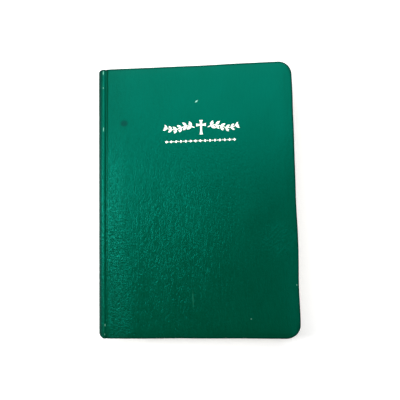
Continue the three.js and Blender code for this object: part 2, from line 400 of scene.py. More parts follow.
def furrowing(tree, uv, across, up):
    """The layers of fine relief that use has left: streaks and curls up the book, wrinkles
    across it beside the groove, and creases near the fore-edge."""
    # most on the hinge half and below the middle
    worked = product(tree, ramp(tree, across, 62, -40, 0.25), ramp(tree, up, 75, -5, 0.25))
    streaks = product(tree, creasing(tree, uv, 2.1, 9.0, 3.1), worked)
    curls = product(tree, creasing(tree, uv, 3.2, 4.4, 8.7, 0.09), worked)
    # in a band beside the groove that is strongest towards the tail
    band = product(tree, ramp(tree, across, -44, -56), ramp(tree, across, -68.2, -65),
                   ramp(tree, up, 40, -50, 0.15))
    wrinkles = product(tree, creasing(tree, uv, 5.5, 1.7, 5.9, 0.1), band)
    # slanting, below the middle
    slant = add(tree, "Mapping", {"Vector": uv, "Rotation": (0, 0, 0.75)})
    creases = product(tree, creasing(tree, slant, 2.6, 13.0, 6.4), spot(tree, uv, *CREASED))
    return streaks, curls, wrinkles, creases


def imitation_leather():
    """Vinyl-coated bookcloth, embossed and lacquered: a saturated satin green, with a fine
    streaky grain up the book, cross wrinkles beside the hinge where the skin is worked most,
    painted shade darkening the edges and the shoulder, and a pale line where the ridge of
    the fold has rubbed."""
    material, tree = new_material("imitation_leather_embossed_green", IOR=1.53,
                                  Specular_Tint=(0.0, 1.0, 0.76, 1))
    uv = add(tree, "UVMap", uv_map="surface").outputs[0]
    along = add(tree, "SeparateXYZ", {0: uv})
    across, up = along.outputs["X"], along.outputs["Y"]
    rim = add(tree, "Attribute", attribute_name="rim").outputs["Fac"]

    # the embossed grain is 0.3 mm or so; it is drawn coarser so that it can show
    grain = add(tree, "TexNoise", {"Vector": stretched(tree, uv, 1.5, 9.0), "Scale": 1.0,
                                   "Detail": 4.0, "Roughness": 0.62})
    pebble = add(tree, "TexVoronoi", {"Vector": stretched(tree, uv, 0.9, 0.9), "Scale": 1.0},
                 feature="SMOOTH_F1")
    mottle = add(tree, "TexNoise", {"Vector": stretched(tree, uv, 24, 34), "Scale": 1.0,
                                    "Detail": 3.0})

    streaks, curls, wrinkles, creases = furrowing(tree, uv, across, up)

    # the fold between groove and spine: rubbed pale along its ridge, in places to the base
    ridge = add(tree, "Math", {0: across, 1: -RIDGE_X * MM}, operation="ADD")
    ridge = add(tree, "Math", {0: ridge}, operation="ABSOLUTE")
    ridge = ramp(tree, ridge, 0.45, 0.1)
    broken = add(tree, "TexNoise", {"Vector": stretched(tree, uv, 3.0, 14.0), "Scale": 1.0,
                                    "Detail": 3.0})
    broken = add(tree, "MapRange", {"Value": broken, "From Min": 0.4, "From Max": 0.65,
                                    "To Min": 0.06, "To Max": 0.34})
    nicks = strongest(tree, [spot(tree, uv, *mark) for mark in NICKS])
    scratch = spot(tree, uv, *SCRATCH)
    smudge = spot(tree, uv, *SMUDGE)
    scuff = product(tree, spot(tree, uv, *SCUFF), grain)
    # painted shade: the shoulder is darkened where it turns down to the spine, away from the light
    shoulder = product(tree, ramp(tree, across, -71.4, -72.6, 0.0, 0.75),
                       ramp(tree, across, -80, -76))
    # painted shade: a dark band along the rim, where the cover's edges roll over away from the
    # light, made uneven by the mottle
    rim_painted_shade = product(tree, ramp(tree, rim, 2.0, 0.2),
                      add(tree, "MapRange", {"Value": mottle, "From Min": 0.2,
                                             "From Max": 0.6, "To Min": 0.55, "To Max": 0.9}))

    base = tinted(tree, mottle, "#003720", "#003f26")
    streak = add(tree, "MapRange", {"Value": grain, "From Min": 0.3, "From Max": 0.72,
                                    "To Max": 0.5})
    base = tinted(tree, streak, base, "#00301b")
    furrows = add(tree, "Math", {0: streaks, 1: curls}, operation="ADD")
    paler = add(tree, "MapRange", {"Value": furrows, "From Max": 2.0, "To Max": 0.3})
    rubbed = product(tree, ridge, broken)
    # the shoulder and rim darkenings in this list are painted shade
    for share, colour in ((paler, "#00563c"), (shoulder, "#001a10"), (rubbed, "#1d8464"),
                          (rim_painted_shade, "#001a0f"), (smudge, "#0c1412"), (scuff, "#2a7d60"),
                          (nicks, "#7fc4a8"), (scratch, "#b9f2dc")):
        base = tinted(tree, share, base, colour)

    rough = add(tree, "MapRange", {"Value": mottle, "From Min": 0.3, "From Max": 0.7,
                                   "To Min": 0.29, "To Max": 0.36})
    for layer, duller in ((rim_painted_shade, 0.25), (smudge, 0.2), (shoulder, 0.25)):
        rough = add(tree, "Math", {0: layer, 1: duller, 2: rough}, operation="MULTIPLY_ADD")

    height = add(tree, "Math", {0: grain, 1: 0.5}, operation="MULTIPLY")
    for layer, depth in ((pebble, 0.16), (streaks, 0.6), (curls, 0.3), (wrinkles, 0.95),
                         (creases, 0.8)):
        height = add(tree, "Math", {0: layer, 1: depth, 2: height}, operation="MULTIPLY_ADD")
    return surfaced(material, base, height, 0.14, rough)


def page_edges():
    """Thin Bible paper, guillotined: the eye sees fine lines along the book, broken into
    faintly darker and lighter leaves, with a thicker line between sections."""
    material, tree = new_material("bible_paper_trimmed_edges", Roughness=0.78, IOR=1.5)
    uv = add(tree, "UVMap", uv_map="surface").outputs[0]
    # leaves are about 0.04 mm; the lines are drawn near 0.2 mm so that they can show
    fine = add(tree, "TexNoise", {"Vector": stretched(tree, uv, 60, 0.2), "Scale": 1.0,
                                  "Detail": 4.0, "Roughness": 0.7})
    broad = add(tree, "TexNoise", {"Vector": stretched(tree, uv, 30, 1.1), "Scale": 1.0,
                                   "Detail": 2.0})
    soil = add(tree, "TexNoise", {"Vector": stretched(tree, uv, 26, 20), "Scale": 1.0})
    lines = add(tree, "MapRange", {"Value": fine, "From Min": 0.36, "From Max": 0.64})
    base = tinted(tree, lines, "#cdc2a4", "#f1ead6")
    shade = add(tree, "MapRange", {"Value": broad, "From Min": 0.5, "From Max": 0.75,
                                   "To Max": 0.5})
    base = tinted(tree, shade, base, "#d9cdb0")
    shade = add(tree, "MapRange", {"Value": soil, "From Min": 0.52, "From Max": 0.8,
                                   "To Max": 0.35})
    base = tinted(tree, shade, base, "#c9b88f")
    return surfaced(material, base, fine, 0.06)


def plain_paper(name, colour, shade, fibre_mm):
    """Uncoated paper as made: soft fibre cloudiness and a slight tooth."""
    material, tree = new_material(name, Roughness=0.86, IOR=1.5)
    place = add(tree, "TexCoord").outputs["Object"]
    cloud = add(tree, "TexNoise", {"Vector": stretched(tree, place, 14, 14, 14), "Scale": 1.0,
                                   "Detail": 5.0})
    fibre = add(tree, "TexNoise", {"Vector": stretched(tree, place, fibre_mm, fibre_mm,
                                                       fibre_mm), "Scale": 1.0, "Detail": 3.0})
    mixed = add(tree, "Math", {0: cloud, 1: fibre}, operation="MULTIPLY")
    mixed = add(tree, "MapRange", {"Value": mixed, "From Min": 0.05, "From Max": 0.34})
    return surfaced(material, tinted(tree, mixed, shade, colour), fibre, 0.03)


def printed_page():
    """Bible paper printed in two columns: grey broken lines stand in for the setting, on
    faintly clouded paper."""
    material, tree = new_material("bible_paper_printed", Roughness=0.82, IOR=1.5)
    uv = add(tree, "UVMap", uv_map="surface").outputs[0]
    place = add(tree, "SeparateXYZ", {0: uv})
    across, up = place.outputs["X"], place.outputs["Y"]
    line_pitch, column, gutter = 3.1 * MM, 27 * MM, 30 * MM

    row = add(tree, "Math", {0: up, 1: line_pitch}, operation="DIVIDE")
    within = add(tree, "Math", {0: row}, operation="FRACT")
    stroke = add(tree, "Math", {0: within, 1: 0.5, 2: 0.2}, operation="COMPARE")
    number = add(tree, "Math", {0: row}, operation="FLOOR")
    offset = add(tree, "Math", {0: number, 1: 7.31}, operation="MULTIPLY")
    spread = add(tree, "Math", {0: across, 1: 2.6 * MM}, operation="DIVIDE")
    words = add(tree, "TexNoise", {"Vector": add(tree, "CombineXYZ", {0: spread, 1: offset}),
                                   "Scale": 1.0, "Detail": 1.0})
    words = add(tree, "Math", {0: words, 1: 0.46}, operation="GREATER_THAN")
    centre = add(tree, "Math", {0: across}, operation="ABSOLUTE")
    inside = add(tree, "Math", {0: centre, 1: gutter, 2: column}, operation="COMPARE")
    length = add(tree, "Math", {0: up, 1: -2 * MM, 2: 86 * MM}, operation="COMPARE")
    rule = add(tree, "Math", {0: up, 1: 91 * MM, 2: 0.2 * MM}, operation="COMPARE")
    width = add(tree, "Math", {0: across, 1: 0.0, 2: 57 * MM}, operation="COMPARE")
    rule = product(tree, rule, width)
    ink = strongest(tree, [product(tree, stroke, words, inside, length), rule])
    ink = product(tree, ink, 0.62)
    cloud = add(tree, "TexNoise", {"Vector": stretched(tree, uv, 9, 9), "Scale": 1.0,
                                   "Detail": 4.0})
    paper = tinted(tree, cloud, "#e9e1cc", "#f5f0e2")
    return surfaced(material, tinted(tree, ink, paper, "#4a4640"), cloud, 0.05)


def woven(name, colour, shade, thread_mm, open_weave):
    """Plain-woven cotton: two sets of threads crossing, darker in the gaps between them."""
    material, tree = new_material(name, Roughness=0.92, IOR=1.5)
    uv = add(tree, "UVMap", uv_map="surface").outputs[0]
    place = add(tree, "SeparateXYZ", {0: uv})
    turn = 2 * math.pi / (thread_mm * MM)
    waves = []
    for axis in ("X", "Y"):
        angle = product(tree, place.outputs[axis], turn)
        wave = add(tree, "Math", {0: angle}, operation="SINE")
        waves.append(add(tree, "Math", {0: wave, 1: 0.5, 2: 0.5}, operation="MULTIPLY_ADD"))
    weave = add(tree, "Math", {0: waves[0], 1: waves[1]}, operation="MAXIMUM")
    level = add(tree, "MapRange", {"Value": weave, "From Min": open_weave, "From Max": 0.95})
    return surfaced(material, tinted(tree, level, shade, colour), weave, 0.1)


def striped_band():
    """Mercerised cotton wound over a cord: green and cream threads by turns, softly shiny."""
    material, tree = new_material("mercerised_cotton_striped", Roughness=0.6, IOR=1.5,
                                  Sheen_Weight=0.25)
    uv = add(tree, "UVMap", uv_map="surface").outputs[0]
    height = add(tree, "SeparateXYZ", {0: uv}).outputs["Y"]
    stripe = add(tree, "Math", {0: height, 1: 2.0 * MM}, operation="DIVIDE")
    stripe = add(tree, "Math", {0: stripe}, operation="FRACT")
    stripe = add(tree, "MapRange", {"Value": stripe, "From Min": 0.46, "From Max": 0.54})
    fuzz = add(tree, "TexNoise", {"Vector": stretched(tree, uv, 0.4, 0.25), "Scale": 1.0})
    green = tinted(tree, fuzz, "#0c4a37", "#1a6a50")
    cream = tinted(tree, fuzz, "#cfc6a8", "#ece4cb")
    return surfaced(material, tinted(tree, stripe, green, cream), fuzz, 0.08)


def linen_thread():
    """Waxed linen, twisted: slanting ply lines round the thread."""
    material, tree = new_material("linen_thread_waxed", Roughness=0.55, IOR=1.5)
    place = add(tree, "TexCoord").outputs["Object"]
    twist = add(tree, "TexWave", {"Vector": stretched(tree, place, 1.0, 0.9, 1.0, turn=0.6),
                                  "Scale": 1.0, "Distortion": 0.4}, bands_direction="Y")
    return surfaced(material, tinted(tree, twist, "#c9bd98", "#ece3c8"), twist, 0.06)


def stamped_foil():
    """Hot-stamped metal foil, pale gold: bright and nearly white under a soft sky, a little
    uneven where the grain of the skin comes through, with pinholes of wear."""
    material, tree = new_material("pale_gold_foil_hot_stamped", Metallic=1.0)
    place = add(tree, "TexCoord").outputs["Object"]
    wear = add(tree, "TexNoise", {"Vector": stretched(tree, place, 0.7, 1.6, 1), "Scale": 1.0,
                                  "Detail": 4.0})
    worn = add(tree, "MapRange", {"Value": wear, "From Min": 0.62, "From Max": 0.74,
                                  "To Max": 0.5})
    rough = add(tree, "MapRange", {"Value": wear, "To Min": 0.42, "To Max": 0.62})
    return surfaced(material, tinted(tree, worn, "#fffdf4", "#b9c9b4"), wear, 0.02, rough)


LEATHER = imitation_leather()
EDGES = page_edges()
PRINTED = printed_page()
BIBLE_PAPER = plain_paper("bible_paper_plain", "#f2ecdc", "#eae3cf", 1.6)
ENDPAPER = plain_paper("endpaper_wove_cream", "#eae3d0", "#e5ddc9", 1.1)
CARD = plain_paper("grey_card_pressed", "#95907f", "#7d776a", 0.8)
KRAFT = plain_paper("kraft_paper_glazed", "#b8945f", "#9c7a4a", 1.3)
GAUZE = woven("cotton_gauze_starched", "#e8e4d6", "#9a907a", 1.3, 0.55)
BAND = striped_band()
THREAD = linen_thread()
FOIL = stamped_foil()


# ---- the case ----

def along_skin(x, z):
    """How far along the opened-out skin a place is: X itself on the front cover, then round
    the front shoulder, down the spine, round the back shoulder and out on the back cover."""
    quarter = ROLL_RADIUS * math.pi / 2
    spine = ROLL_TOP - ROLL_LOW
    if x > ROLL_X:
        return x if z > MIDDLE else 2 * ROLL_X - 2 * quarter - spine - x
    if z > ROLL_TOP:
        return ROLL_X - ROLL_RADIUS * math.atan2(ROLL_X - x, z - ROLL_TOP)
    if z > ROLL_LOW:
        return ROLL_X - quarter - (ROLL_TOP - z)
    return ROLL_X - quarter - spine - ROLL_RADIUS * math.atan2(ROLL_LOW - z, ROLL_X - x)


def skin_place(co, normal):
    """UV on the skin in metres; on a rim the thickness counts too, so the grain runs round."""
    depth = min(abs(co.z), abs(THICKNESS - co.z))
    rim = co.x > ROLL_X
    u = along_skin(co.x, co.z) + (depth * normal.x * (1 if co.z > MIDDLE else -1) if rim else 0)
    return u, co.y + depth * normal.y * rim


def bell(distance, half_width):
    return math.exp(-(distance / half_width) ** 2)


def eased(value):
    t = max(0.0, min(1.0, value))
    return t * t * (3 - 2 * t)


def eased_ramp(t):
    """A straight rise from 0 to 1 whose foot and top are rounded over."""
    t = max(0.0, min(1.0, t))
    turn = 0.12                                  # the share that each rounding takes
    slope = 1 / (1 - turn)
    if t < turn:
        return slope * t * t / (2 * turn)
    if t > 1 - turn:
        return 1 - slope * (1 - t) ** 2 / (2 * turn)
    return slope * (t - turn / 2)


def groove(x):
    return -GROOVE_DEPTH * bell(x - GROOVE_X, GROOVE_HALF)


def face_relief(x, y):
    """Height of a cover's outer face over the flat: it swells beside the groove, falls at the
    edges, more at the tail corner of the fore-edge, and is never quite even."""
    rise = eased_ramp((x - RISE_X) / (CREST_X - RISE_X))
    fall_off = 1 - eased((x - CREST_X) / CREST_FALL)
    flatter = 0.3 + 0.7 * eased((60 * MM - y) / (80 * MM))     # towards the head
    swell = CREST_HEIGHT * flatter * (rise if x < CREST_X else fall_off)
    from_front = eased(1 - (FORE_EDGE - x) / EDGE_BAND)
    from_ends = eased(1 - (HEAD - abs(y)) / END_BAND)
    corner = 0.75 + 0.35 * eased((20 * MM - y) / (90 * MM))
    fall = EDGE_FALL * max(from_front * corner, 0.55 * from_ends)
    uneven = noise.noise(Vector((x * 24, y * 15, 3.7))) * 0.16 * MM
    uneven += noise.noise(Vector((x * 75, y * 42, 9.1))) * 0.045 * MM
    return (swell + uneven) * eased((x - GROOVE_X) / (6 * MM)) - fall


def case_plate(name):
    """Front cover with its turned-in edges: a plate with the board's pocket and the window
    inside the turn-in taken out, left in edit mode."""
    past = 5 * MM                                # how far a cutter runs past the plate
    top, low = COVER_HIGH.z, COVER_LOW.z
    pocket_low = top - COVER_THICKNESS + TURN_IN_LIP
    pocket = start_plate("pocket", COVER_LOW.x - past, FORE_EDGE - SKIN, SKIN - HEAD,
                         HEAD - SKIN, pocket_low)
    round_plan_corners(pocket, CORNER_RADIUS - SKIN)
    pick_all()
    extrude(z=top - SKIN - pocket_low)
    close_up(pocket)
    window = start_plate("window", COVER_LOW.x - past, FORE_EDGE - TURN_IN, TURN_IN - HEAD,
                         HEAD - TURN_IN, low - past)
    extrude(z=pocket_low - low + past + TURN_IN_LIP / 2)
    close_up(window)

    piece = start_plate(name, COVER_LOW.x, FORE_EDGE, -HEAD, HEAD, low)
    round_plan_corners(piece, CORNER_RADIUS)
    pick_all()
    extrude(z=COVER_THICKNESS)
    face_out()
    edge = COVER_LOW.x + SAME
    pick(piece, "EDGE", lambda c, d: abs(d.z) < LEVEL and c.z > top - MERGED and c.x > edge)
    bpy.ops.mesh.bevel(offset=EDGE_ROLL, segments=4, affect="EDGES")
    pick(piece, "EDGE", lambda c, d: abs(d.z) < LEVEL and c.z < low + MERGED and c.x > edge)
    bpy.ops.mesh.bevel(offset=INNER_ROLL, segments=3, affect="EDGES")
    close_up(piece)
    cut(piece, pocket)
    cut(piece, window)
    bpy.ops.object.mode_set(mode="EDIT")
    slice_at(2, (top - SKIN,))
    return piece


def pick_end(piece, x):
    """Selects the cut end of the skin, above the pocket, that faces the spine."""
    pick(piece, "FACE", lambda c, n: n.x < -0.9 and abs(c.x - x) < SAME
         and c.z > COVER_HIGH.z - SKIN)


def split_off(piece, name, test):
    """Separates the faces that pass the test as a piece of their own."""
    before = set(bpy.data.objects)
    pick(piece, "FACE", test)
    bpy.ops.mesh.separate(type="SELECTED")
    part = next(o for o in bpy.data.objects if o not in before)
    part.name = part.data.name = name
    return part


def cap_ends(piece):
    """Closes the open ends that a separation leaves."""
    take_up(piece)
    bpy.ops.object.mode_set(mode="EDIT")
    bpy.ops.mesh.select_mode(type="EDGE")
    bpy.ops.mesh.select_all(action="DESELECT")
    bpy.ops.mesh.select_non_manifold(extend=False)
    bpy.ops.mesh.fill_holes(sides=0)
    close_up(piece)


def outward(co):
    """The way the outer face looks, at a place on the strip, the shoulders or the spine."""
    if co.x > ROLL_X:
        return Vector((0, 0, 1 if co.z > MIDDLE else -1))
    if co.z > ROLL_TOP:
        return Vector((co.x - ROLL_X, 0, co.z - ROLL_TOP)).normalized()
    if co.z > ROLL_LOW:
        return Vector((-1, 0, 0))
    return Vector((co.x - ROLL_X, 0, co.z - ROLL_LOW)).normalized()


def fold_in_ends(piece):
    """Thickens the head and tail ends of the hinge and spine, where the skin is folded in."""
    band = HEAD - SKIN
    flap = HEAD - TURN_IN
    slice_at(1, (-band, -flap, flap, band))
    left = COVER_LOW.x - SAME
    pick(piece, "FACE", lambda c, n: c.x < left and abs(c.y) > band
         and n.dot(outward(c)) < -0.7 and abs(n.y) < 0.5)
    bpy.ops.mesh.extrude_region_shrink_fatten(TRANSFORM_OT_shrink_fatten={"value": RIM})


def round_shoulder(z):
    """Spins the end of the skin a quarter turn round a line at that height."""
    bpy.ops.mesh.spin(steps=SHOULDER_STEPS, angle=math.pi / 2, center=(ROLL_X, 0, z),
                      axis=(0, 1, 0))


def leather_case():
    """The whole front of the case and its spine in one length of skin, cut at the folds."""
    piece = case_plate("front_case_leatherette")
    pick_end(piece, COVER_LOW.x)
    extrude(x=ROLL_X - COVER_LOW.x)
    round_shoulder(ROLL_TOP)
    extrude(z=PANEL_TOP - ROLL_TOP)
    grow(PANEL_TOP, PANEL_LOW, PANEL_STEPS)
    extrude(z=ROLL_LOW - PANEL_LOW)
    round_shoulder(ROLL_LOW)
    bpy.ops.mesh.delete(type="ONLY_FACE")
    pick_all()
    bpy.ops.mesh.remove_doubles(threshold=MERGED)
    face_out()
    fold_in_ends(piece)

    # rings close together in the groove, on the crest and along the rims, and wide elsewhere
    groove_end, crest_end, rim_start = 3 * MM, 25 * MM, HEAD - 6 * MM
    for start, end, count in ((ROLL_X, GROOVE_X + groove_end, 18),
                              (GROOVE_X + groove_end, GROOVE_X + crest_end, 9),
                              (GROOVE_X + crest_end, FORE_EDGE - EDGE_BAND, 14),
                              (FORE_EDGE - EDGE_BAND, FORE_EDGE - EDGE_ROLL, 6)):
        slice_at(0, steps(start, end, count))
    for side in (-1, 1):
        slice_at(1, [side * place for place in steps(rim_start, HEAD - EDGE_ROLL, 4)])
    slice_at(1, steps(-rim_start, rim_start, 32))

    inner = math.radians(45)
    spine = split_off(piece, "spine_leatherette_panel", lambda c, n: c.x < ROLL_X - 0.5 * MM
                      and PANEL_LOW < c.z < PANEL_TOP)
    lower = split_off(piece, "back_fold_leatherette", lambda c, n: c.x < ROLL_X
                      and c.z < ROLL_LOW and math.atan2(ROLL_LOW - c.z, ROLL_X - c.x) > inner)
    upper = split_off(piece, "back_shoulder_leatherette", lambda c, n: c.z < PANEL_LOW
                      and c.x < ROLL_X)
    fold = split_off(piece, "front_shoulder_leatherette", lambda c, n: c.x < ROLL_X)
    bpy.ops.object.mode_set(mode="OBJECT")
    back = copied(piece, "back_case_leatherette",
                  Matrix.Translation((0, 0, THICKNESS)) @ Matrix.Scale(-1, 4, (0, 0, 1)))
    made = [piece, fold, spine, upper, lower, back]
    for part in made:
        cap_ends(part)
    return made


def worn_outline(co):
    """How far a place on the case moves because the soft skin is worn out of true."""
    shift = Vector((0, 0, 0))
    if co.x < ROLL_X:
        t = (ROLL_X - co.x) / ROLL_RADIUS
        shift.x = -SPINE_SWELL * eased(t)
        drop = (HEAD_DROP if co.y > 0 else TAIL_DROP) * min(t, 1.0) ** 1.6
        near_end = eased((abs(co.y) - HEAD + CORNER_WEAR) / CORNER_WEAR)
        shift.y = -math.copysign(drop * near_end, co.y)
    edge = eased((co.x - FORE_EDGE + RIM_WEAR) / RIM_WEAR)
    ends = eased((abs(co.y) - HEAD + RIM_WEAR) / RIM_WEAR)
    shift.x += edge * 0.45 * MM * noise.noise(Vector((2.3, co.y * 42, 5.1)))
    shift.x += edge * FRONT_BOW * bell(co.y + 45 * MM, 75 * MM)
    shift.y += ends * 0.4 * MM * noise.noise(Vector((co.x * 30, 7.7, 0.4)))
    if co.y > 0:
        shift.y += ends * HEAD_BOW * (1 - eased((co.x - SPINE_FACE) / (85 * MM)))
    return shift


def rim_distance(co):
    """How far a place lies inside the case's outline, looking down on it."""
    near = HEAD - abs(co.y)
    if co.x < ROLL_X:
        return near
    inset_x = co.x - (FORE_EDGE - CORNER_RADIUS)
    inset_y = abs(co.y) - (HEAD - CORNER_RADIUS)
    if inset_x > 0 and inset_y > 0:
        return CORNER_RADIUS - math.hypot(inset_x, inset_y)
    return min(near, FORE_EDGE - co.x)


def finish_skin(piece):
    """Marks the distance to the rim, lays the skin's UV, then wears the outline."""
    rim = piece.data.attributes.new("rim", "FLOAT", "POINT")
    rim.data.foreach_set("value", [rim_distance(v.co) for v in piece.data.vertices])
    map_surface(piece, skin_place)
    for vertex in piece.data.vertices:
        vertex.co += worn_outline(vertex.co)
    dress(piece, LEATHER)
    smooth(piece, 40)


def shape_cover(piece, side):
    """Presses the groove and gives the outer face its relief; side is +1 front, -1 back."""
    outer = THICKNESS if side > 0 else 0
    for vertex in piece.data.vertices:
        co = vertex.co
        depth = (outer - co.z) * side
        if depth < SKIN + 0.1 * MM or co.x < COVER_LOW.x - SAME:
            co.z += side * groove(co.x)
        if depth < SKIN - 0.1 * MM:
            share = 1 - depth / SKIN
            co.z += side * share * face_relief(co.x, co.y * side)


def shape_spine(piece):
    """Crowns the spine panel a little between its folds."""
    for vertex in piece.data.vertices:
        t = (vertex.co.z - PANEL_LOW) / (PANEL_TOP - PANEL_LOW)
        crown = 0.35 * (1 - math.cos(2 * math.pi * t)) / 2
        uneven = 0.05 * noise.noise(Vector((vertex.co.z * 120, vertex.co.y * 25, 1.3)))
        vertex.co.x -= (crown + uneven * math.sin(math.pi * max(0, min(1, t)))) * MM


front_case, front_shoulder, spine_panel, back_shoulder, back_fold, back_case = leather_case()
shape_cover(front_case, 1)
shape_cover(back_case, -1)
for leather_part in (front_case, front_shoulder, spine_panel, back_shoulder, back_fold,
                     back_case):
    finish_skin(leather_part)
shape_spine(spine_panel)

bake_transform(front_case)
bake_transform(front_shoulder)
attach(spine_panel, "spine")
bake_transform(back_shoulder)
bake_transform(back_fold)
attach(back_case, "back_cover")
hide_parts("front_cover_leatherette", "front_hinge_leatherette")
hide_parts("spine_leatherette")
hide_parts("back_cover_leatherette", "back_hinge_leatherette")


def board_card(side_name):
    """A cover's flexible board: card with round fore-edge corners and softened edges."""
    node = f"{side_name}_cover_board"
    low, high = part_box(node)
    piece = start_plate(f"{side_name}_board_card", GROOVE_X + 2 * MM, high.x, -high.y, high.y,
                        low.z)
    round_plan_corners(piece, CORNER_RADIUS - SKIN)
    pick_all()
    extrude(z=high.z - low.z)
    face_out()
    pick(piece, "EDGE", lambda c, d: abs(d.z) < LEVEL)
    bpy.ops.mesh.bevel(offset=0.15 * MM, segments=1, affect="EDGES")
    close_up(piece)
    map_surface(piece, lambda co, n: (co.x, co.y))
    smooth(dress(piece, CARD), 30)
    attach(piece, f"{side_name}_cover")
    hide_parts(node)


board_card("front")
board_card("back")


def spine_card():
    """Stiff paper that keeps the spine flat, held between its folded-in ends."""
    end = INLAY_HIGH.y - TAIL_DROP - RIM
    piece = start_plate("spine_inlay_card", INLAY_LOW.x - INLAY_SHIFT,
                        INLAY_HIGH.x - INLAY_SHIFT, -end, end, PANEL_LOW)
    grow(PANEL_LOW, PANEL_TOP, PANEL_STEPS)
    close_up(piece)
    shape_spine(piece)
    map_surface(piece, lambda co, n: (co.y, co.z))
    smooth(dress(piece, KRAFT), 30)
    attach(piece, "spine")
    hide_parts("spine_inlay")


spine_card()


def hinge_paper(side_name, side, bodies):
    """Endpaper carried across the hinge, from the pastedown to the strip beside the spine."""
    paper, off_skin, overlap = 0.18 * MM, 0.12 * MM, 0.04 * MM
    start, end = ROLL_X + 0.3 * MM, COVER_LOW.x + 1.6 * MM
    outer = THICKNESS if side > 0 else 0
    level = outer - side * (SKIN + off_skin)
    piece = start_plate(f"{side_name}_hinge_paper", start, end, -PASTE_HEAD, PASTE_HEAD, level)
    extrude(z=-side * paper)
    slice_at(0, steps(start, end, 10))
    close_up(piece)
    drop = COVER_THICKNESS - SKIN - off_skin - paper + overlap
    for vertex in piece.data.vertices:
        share = eased((vertex.co.x - ROLL_X - 0.6 * MM) / (COVER_LOW.x - ROLL_X))
        vertex.co.z -= side * share * drop
    map_surface(piece, lambda co, n: (co.x, co.y))
    smooth(dress(piece, ENDPAPER), 40)
    if len(bodies) == 2:
        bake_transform(piece)
    else:
        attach(piece, bodies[0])


hinge_paper("front", 1, ("front_hinge", "front_cover"))
hinge_paper("back", -1, ("back_cover",))
for side_name in ("front", "back"):
    frame["nodes"][f"{side_name}_pastedown"].material_slots[0].material = ENDPAPER


# ---- the text block ----

NOTCH = 0.7 * MM                                 # bevel of the two pages at the middle fold
CLEAR_OF_NOTCH = 0.85 * MM
LEAF_TURN, ENDPAPER_TURN = 19 * MM, 28 * MM      # how far from its root a leaf's rings lie close together


def bundle_centre(number):
    middle = (number - 1) * SECTIONS + 2
    low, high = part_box(f"signature_{middle:02d}")
    return (low.z + high.z) / 2


def page_slab(number, low, high, cut_face):
    """Half of each of two neighbouring bundles, in one slab.
    cut_face is +1 or -1 where its top or bottom is an open page, else 0."""
    piece = start_plate(f"pages_{number:02d}", PAGE_BACK, PAGE_FRONT, -PAGE_HEAD, PAGE_HEAD, low)
    round_plan_corners(piece, PAGE_CORNER)
    pick_all()
    grow(low, high, max(8, round((high - low) / (PITCH / 4))))
    if cut_face:
        face_z = high if cut_face > 0 else low
        face_out()
        pick(piece, "EDGE", lambda c, d: abs(c.z - face_z) < MERGED and abs(d.x) < MERGED
             and c.x < PAGE_BACK + SAME)
        bpy.ops.mesh.bevel(offset=NOTCH, offset_type="WIDTH", segments=1, affect="EDGES")
    close_up(piece)
    for vertex in piece.data.vertices:
        co = vertex.co
        phase = (BLOCK_HIGH - co.z if co.z > MIDDLE else co.z - BLOCK_LOW) / PITCH
        dip = 0.07 * MM * bell(phase - round(phase), 0.18)
        co.x -= dip * eased((co.x + 30 * MM) / (80 * MM))
        co.y *= 1 - dip / PAGE_HEAD
    map_surface(piece, lambda co, n: (co.x, co.y) if abs(n.z) > 0.7
                else ((co.y if abs(n.x) > abs(n.y) else co.x), co.z))
    dress(piece, EDGES, PRINTED if cut_face else BIBLE_PAPER)
    for face in piece.data.polygons:
        face.material_index = int(abs(face.normal.z) > 0.7)
    smooth(piece, 25)
    return piece


def bend_between(piece):
    """Bakes the piece's transform into its mesh."""
    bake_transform(piece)


def stack_span(lower, upper):
    """From the lower bundle's centre to the upper one's, or out to the block's own faces."""
    low = BLOCK_LOW if lower == BUNDLES else bundle_centre(lower)
    high = BLOCK_HIGH if upper == 1 else bundle_centre(upper)
    return low, high


MIDDLE_UPPER = BUNDLES // 2
for upper in range(BUNDLES - 1, 0, -1):
    lower = upper + 1
    if upper == MIDDLE_UPPER:
        continue
    low, high = stack_span(lower, upper)
    open_face = 0
    if upper == MIDDLE_UPPER + 1:
        high, open_face = HALF_LOW, 1
    if lower == MIDDLE_UPPER:
        low, open_face = HALF_HIGH, -1
    slab = page_slab(upper, low, high, open_face)
    bend_between(slab)
    if open_face:
        shown = [lower, upper]
    else:
        shown = [lower] if upper > MIDDLE_UPPER else [upper]
    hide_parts(*[f"signature_{n:02d}" for b in shown
                        for n in range((b - 1) * SECTIONS + 1, b * SECTIONS + 1)])


def leaf(name, node, turn_to, faces):
    """One thin leaf, its rings set close from the gutter out to turn_to."""
    low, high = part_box(node)
    root = max(low.x, PAGE_BACK + CLEAR_OF_NOTCH)
    piece = start_plate(name, root, high.x, low.y, high.y, low.z)
    round_plan_corners(piece, PAGE_CORNER)
    pick_all()
    extrude(z=high.z - low.z)
    slice_at(0, steps(root, turn_to, 14) + [turn_to])
    slice_at(0, steps(turn_to, high.x - PAGE_CORNER, 8))
    close_up(piece)
    map_surface(piece, lambda co, n: (co.x, co.y))
    smooth(dress(piece, faces), 30)
    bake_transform(piece)
    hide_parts(node)


def centre_fold():
    """The folded back of the middle sheet: it lies in the notch between the two halves, bowed
    towards the spine at its middle."""
    front, tip, paper = PAGE_BACK + 0.75 * MM, PAGE_BACK + 0.1 * MM, 0.09 * MM
    low, high = HALF_LOW - 0.02 * MM, HALF_HIGH + 0.02 * MM
    piece = start_plate("centre_fold_sheet", front, front - paper, -PAGE_HEAD, PAGE_HEAD, low)
    grow(low, high, 16)
    close_up(piece)
    for vertex in piece.data.vertices:
        t = (vertex.co.z - MIDDLE) / ((high - low) / 2)
        vertex.co.x += (tip - front) * (1 - t * t)
    map_surface(piece, lambda co, n: (co.y, co.x))
    smooth(dress(piece, BIBLE_PAPER), 60)
    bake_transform(piece)


